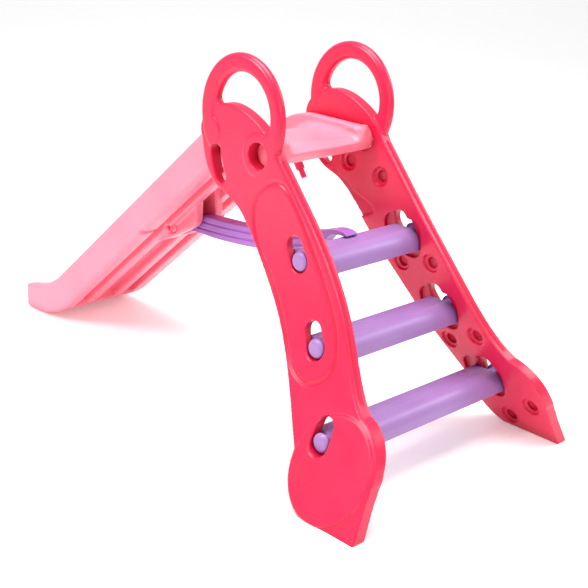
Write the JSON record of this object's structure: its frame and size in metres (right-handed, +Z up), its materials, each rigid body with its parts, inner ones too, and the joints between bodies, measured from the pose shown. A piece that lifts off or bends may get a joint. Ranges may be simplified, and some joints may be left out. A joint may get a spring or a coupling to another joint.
{
  "type": "toddler slide",
  "caption": "Folding toddler slide: flared side panels with ring handles, moulded treads, a one-piece chute and platform, and a hooked brace that holds it open.",
  "frame": {"origin": "centre of the bounding box on the floor", "axes": "+X from the ladder towards the foot of the chute, +Y across towards the left side panel, +Z up"},
  "size_m": [1.5091, 0.7388, 0.86],
  "materials": {
    "panel_plastic": "smooth blow-moulded plastic, hot pink, soft satin gloss",
    "chute_plastic": "smooth blow-moulded plastic, pale pink, soft gloss",
    "tread_plastic": "moulded plastic, light purple, satin with fine grip grooves on the treads"
  },
  "bodies": {
    "frame": {"left_side_panel": "panel_plastic", "right_side_panel": "panel_plastic", "step_top": "tread_plastic", "step_middle": "tread_plastic", "step_bottom": "tread_plastic"},
    "chute": {"chute": "chute_plastic", "platform_peg": "panel_plastic", "brace_pin": "chute_plastic"},
    "brace": {"brace": "tread_plastic"}
  },
  "joints": [
    {"name": "chute_fold", "type": "hinge", "parent": "frame", "child": "chute", "pos_m": [-0.2466, 0, 0.65], "axis": [0, 1, 0], "range_deg": [0, 58]},
    {"name": "brace_swing", "type": "hinge", "parent": "chute", "child": "brace", "pos_m": [0.2074, 0, 0.354], "axis": [0, 1, 0], "range_deg": [0, 14]}
  ],
  "couplings": [
    {"joint": "brace_swing", "follows": "chute_fold", "ratio": 0.24}
  ]
}
